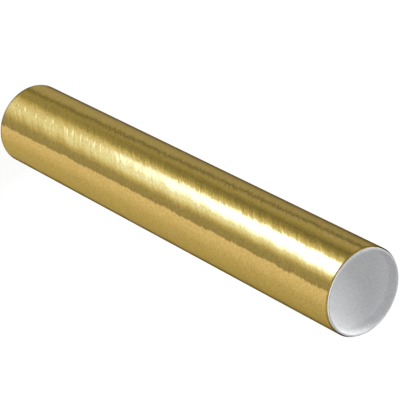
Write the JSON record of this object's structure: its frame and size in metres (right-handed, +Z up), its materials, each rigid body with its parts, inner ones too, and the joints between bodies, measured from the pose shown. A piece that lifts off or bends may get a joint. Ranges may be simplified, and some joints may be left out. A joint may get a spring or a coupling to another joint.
{
  "type": "mailing tube",
  "caption": "Round wound-board mailing tube with a gold foil face, closed at both ends by pressed-in white plastic plug caps with a deep recess.",
  "frame": {"origin": "centre of the bottom cap's lip, in the plane that the tube stands on", "axes": "+Z up along the tube's axis, from the bottom cap to the top cap; +X and +Y are free, because every piece is round"},
  "size_m": [0.0798, 0.0798, 0.4812],
  "materials": {
    "gold_foil_board": "gloss",
    "white_plastic": "satin"
  },
  "bodies": {
    "bottom_cap": {"bottom_cap": "white_plastic"},
    "tube": {"tube": "gold_foil_board"},
    "top_cap": {"top_cap": "white_plastic"}
  },
  "joints": [
    {"name": "tube_pull", "type": "slide", "parent": "bottom_cap", "child": "tube", "axis": [0, 0, 1], "range_m": [0, 0.04]},
    {"name": "top_cap_pull", "type": "slide", "parent": "tube", "child": "top_cap", "axis": [0, 0, 1], "range_m": [0, 0.04]}
  ]
}
